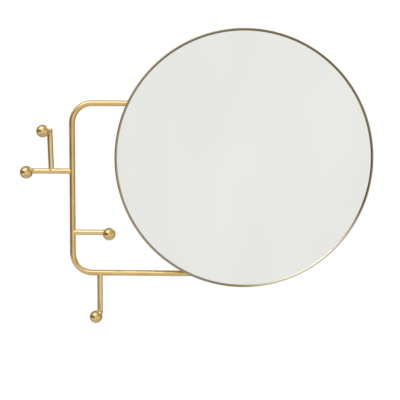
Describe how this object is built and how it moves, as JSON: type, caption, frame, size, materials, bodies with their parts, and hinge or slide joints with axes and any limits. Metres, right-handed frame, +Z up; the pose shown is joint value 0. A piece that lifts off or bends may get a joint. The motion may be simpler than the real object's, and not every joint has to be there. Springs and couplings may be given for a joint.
{
  "type": "round wall mirror with hook rack",
  "caption": "Round wall mirror in a thin brass rim, with a bent brass tube rack of ball-ended hooks on its left side and a lift-off hanging rail behind.",
  "frame": {"origin": "on the wall, midway between the two screw slots of the wall rail, straight above the mirror's centre", "axes": "+X to the viewer's right, +Y into the wall, +Z up; the mirror faces -Y"},
  "size_m": [0.6037, 0.0618, 0.506],
  "materials": {
    "brass": "satin lacquered",
    "silvered_glass": "polished",
    "board": "raw fibreboard",
    "alloy": "satin extruded",
    "zinc_steel": "zinc plated",
    "foam": "soft foam",
    "rubber": "matt"
  },
  "bodies": {
    "rail": {"wall_rail": "alloy"},
    "mirror": {"mirror_rail": "alloy", "rail_screws": "zinc_steel", "back_board": "board", "foam_tape": "foam", "mirror_glass": "silvered_glass", "rim": "brass", "band_screws": "brass", "rack_tube": "brass", "tube_plug_upper": "rubber", "tube_plug_lower": "rubber", "tube_clip_upper_left": "zinc_steel", "tube_clip_upper_right": "zinc_steel", "tube_clip_lower_left": "zinc_steel", "tube_clip_lower_right": "zinc_steel", "clip_screws": "zinc_steel", "upper_arm": "brass", "left_arm": "brass", "right_arm": "brass", "lower_arm": "brass", "upper_pin": "brass", "left_pin": "brass", "right_pin": "brass", "lower_pin": "brass", "upper_ball": "brass", "left_ball": "brass", "right_ball": "brass", "lower_ball": "brass", "wall_bumpers": "rubber"}
  },
  "joints": [
    {"name": "mirror_lift", "type": "slide", "parent": "rail", "child": "mirror", "axis": [0, 0, 1], "range_m": [0, 0.011]}
  ]
}
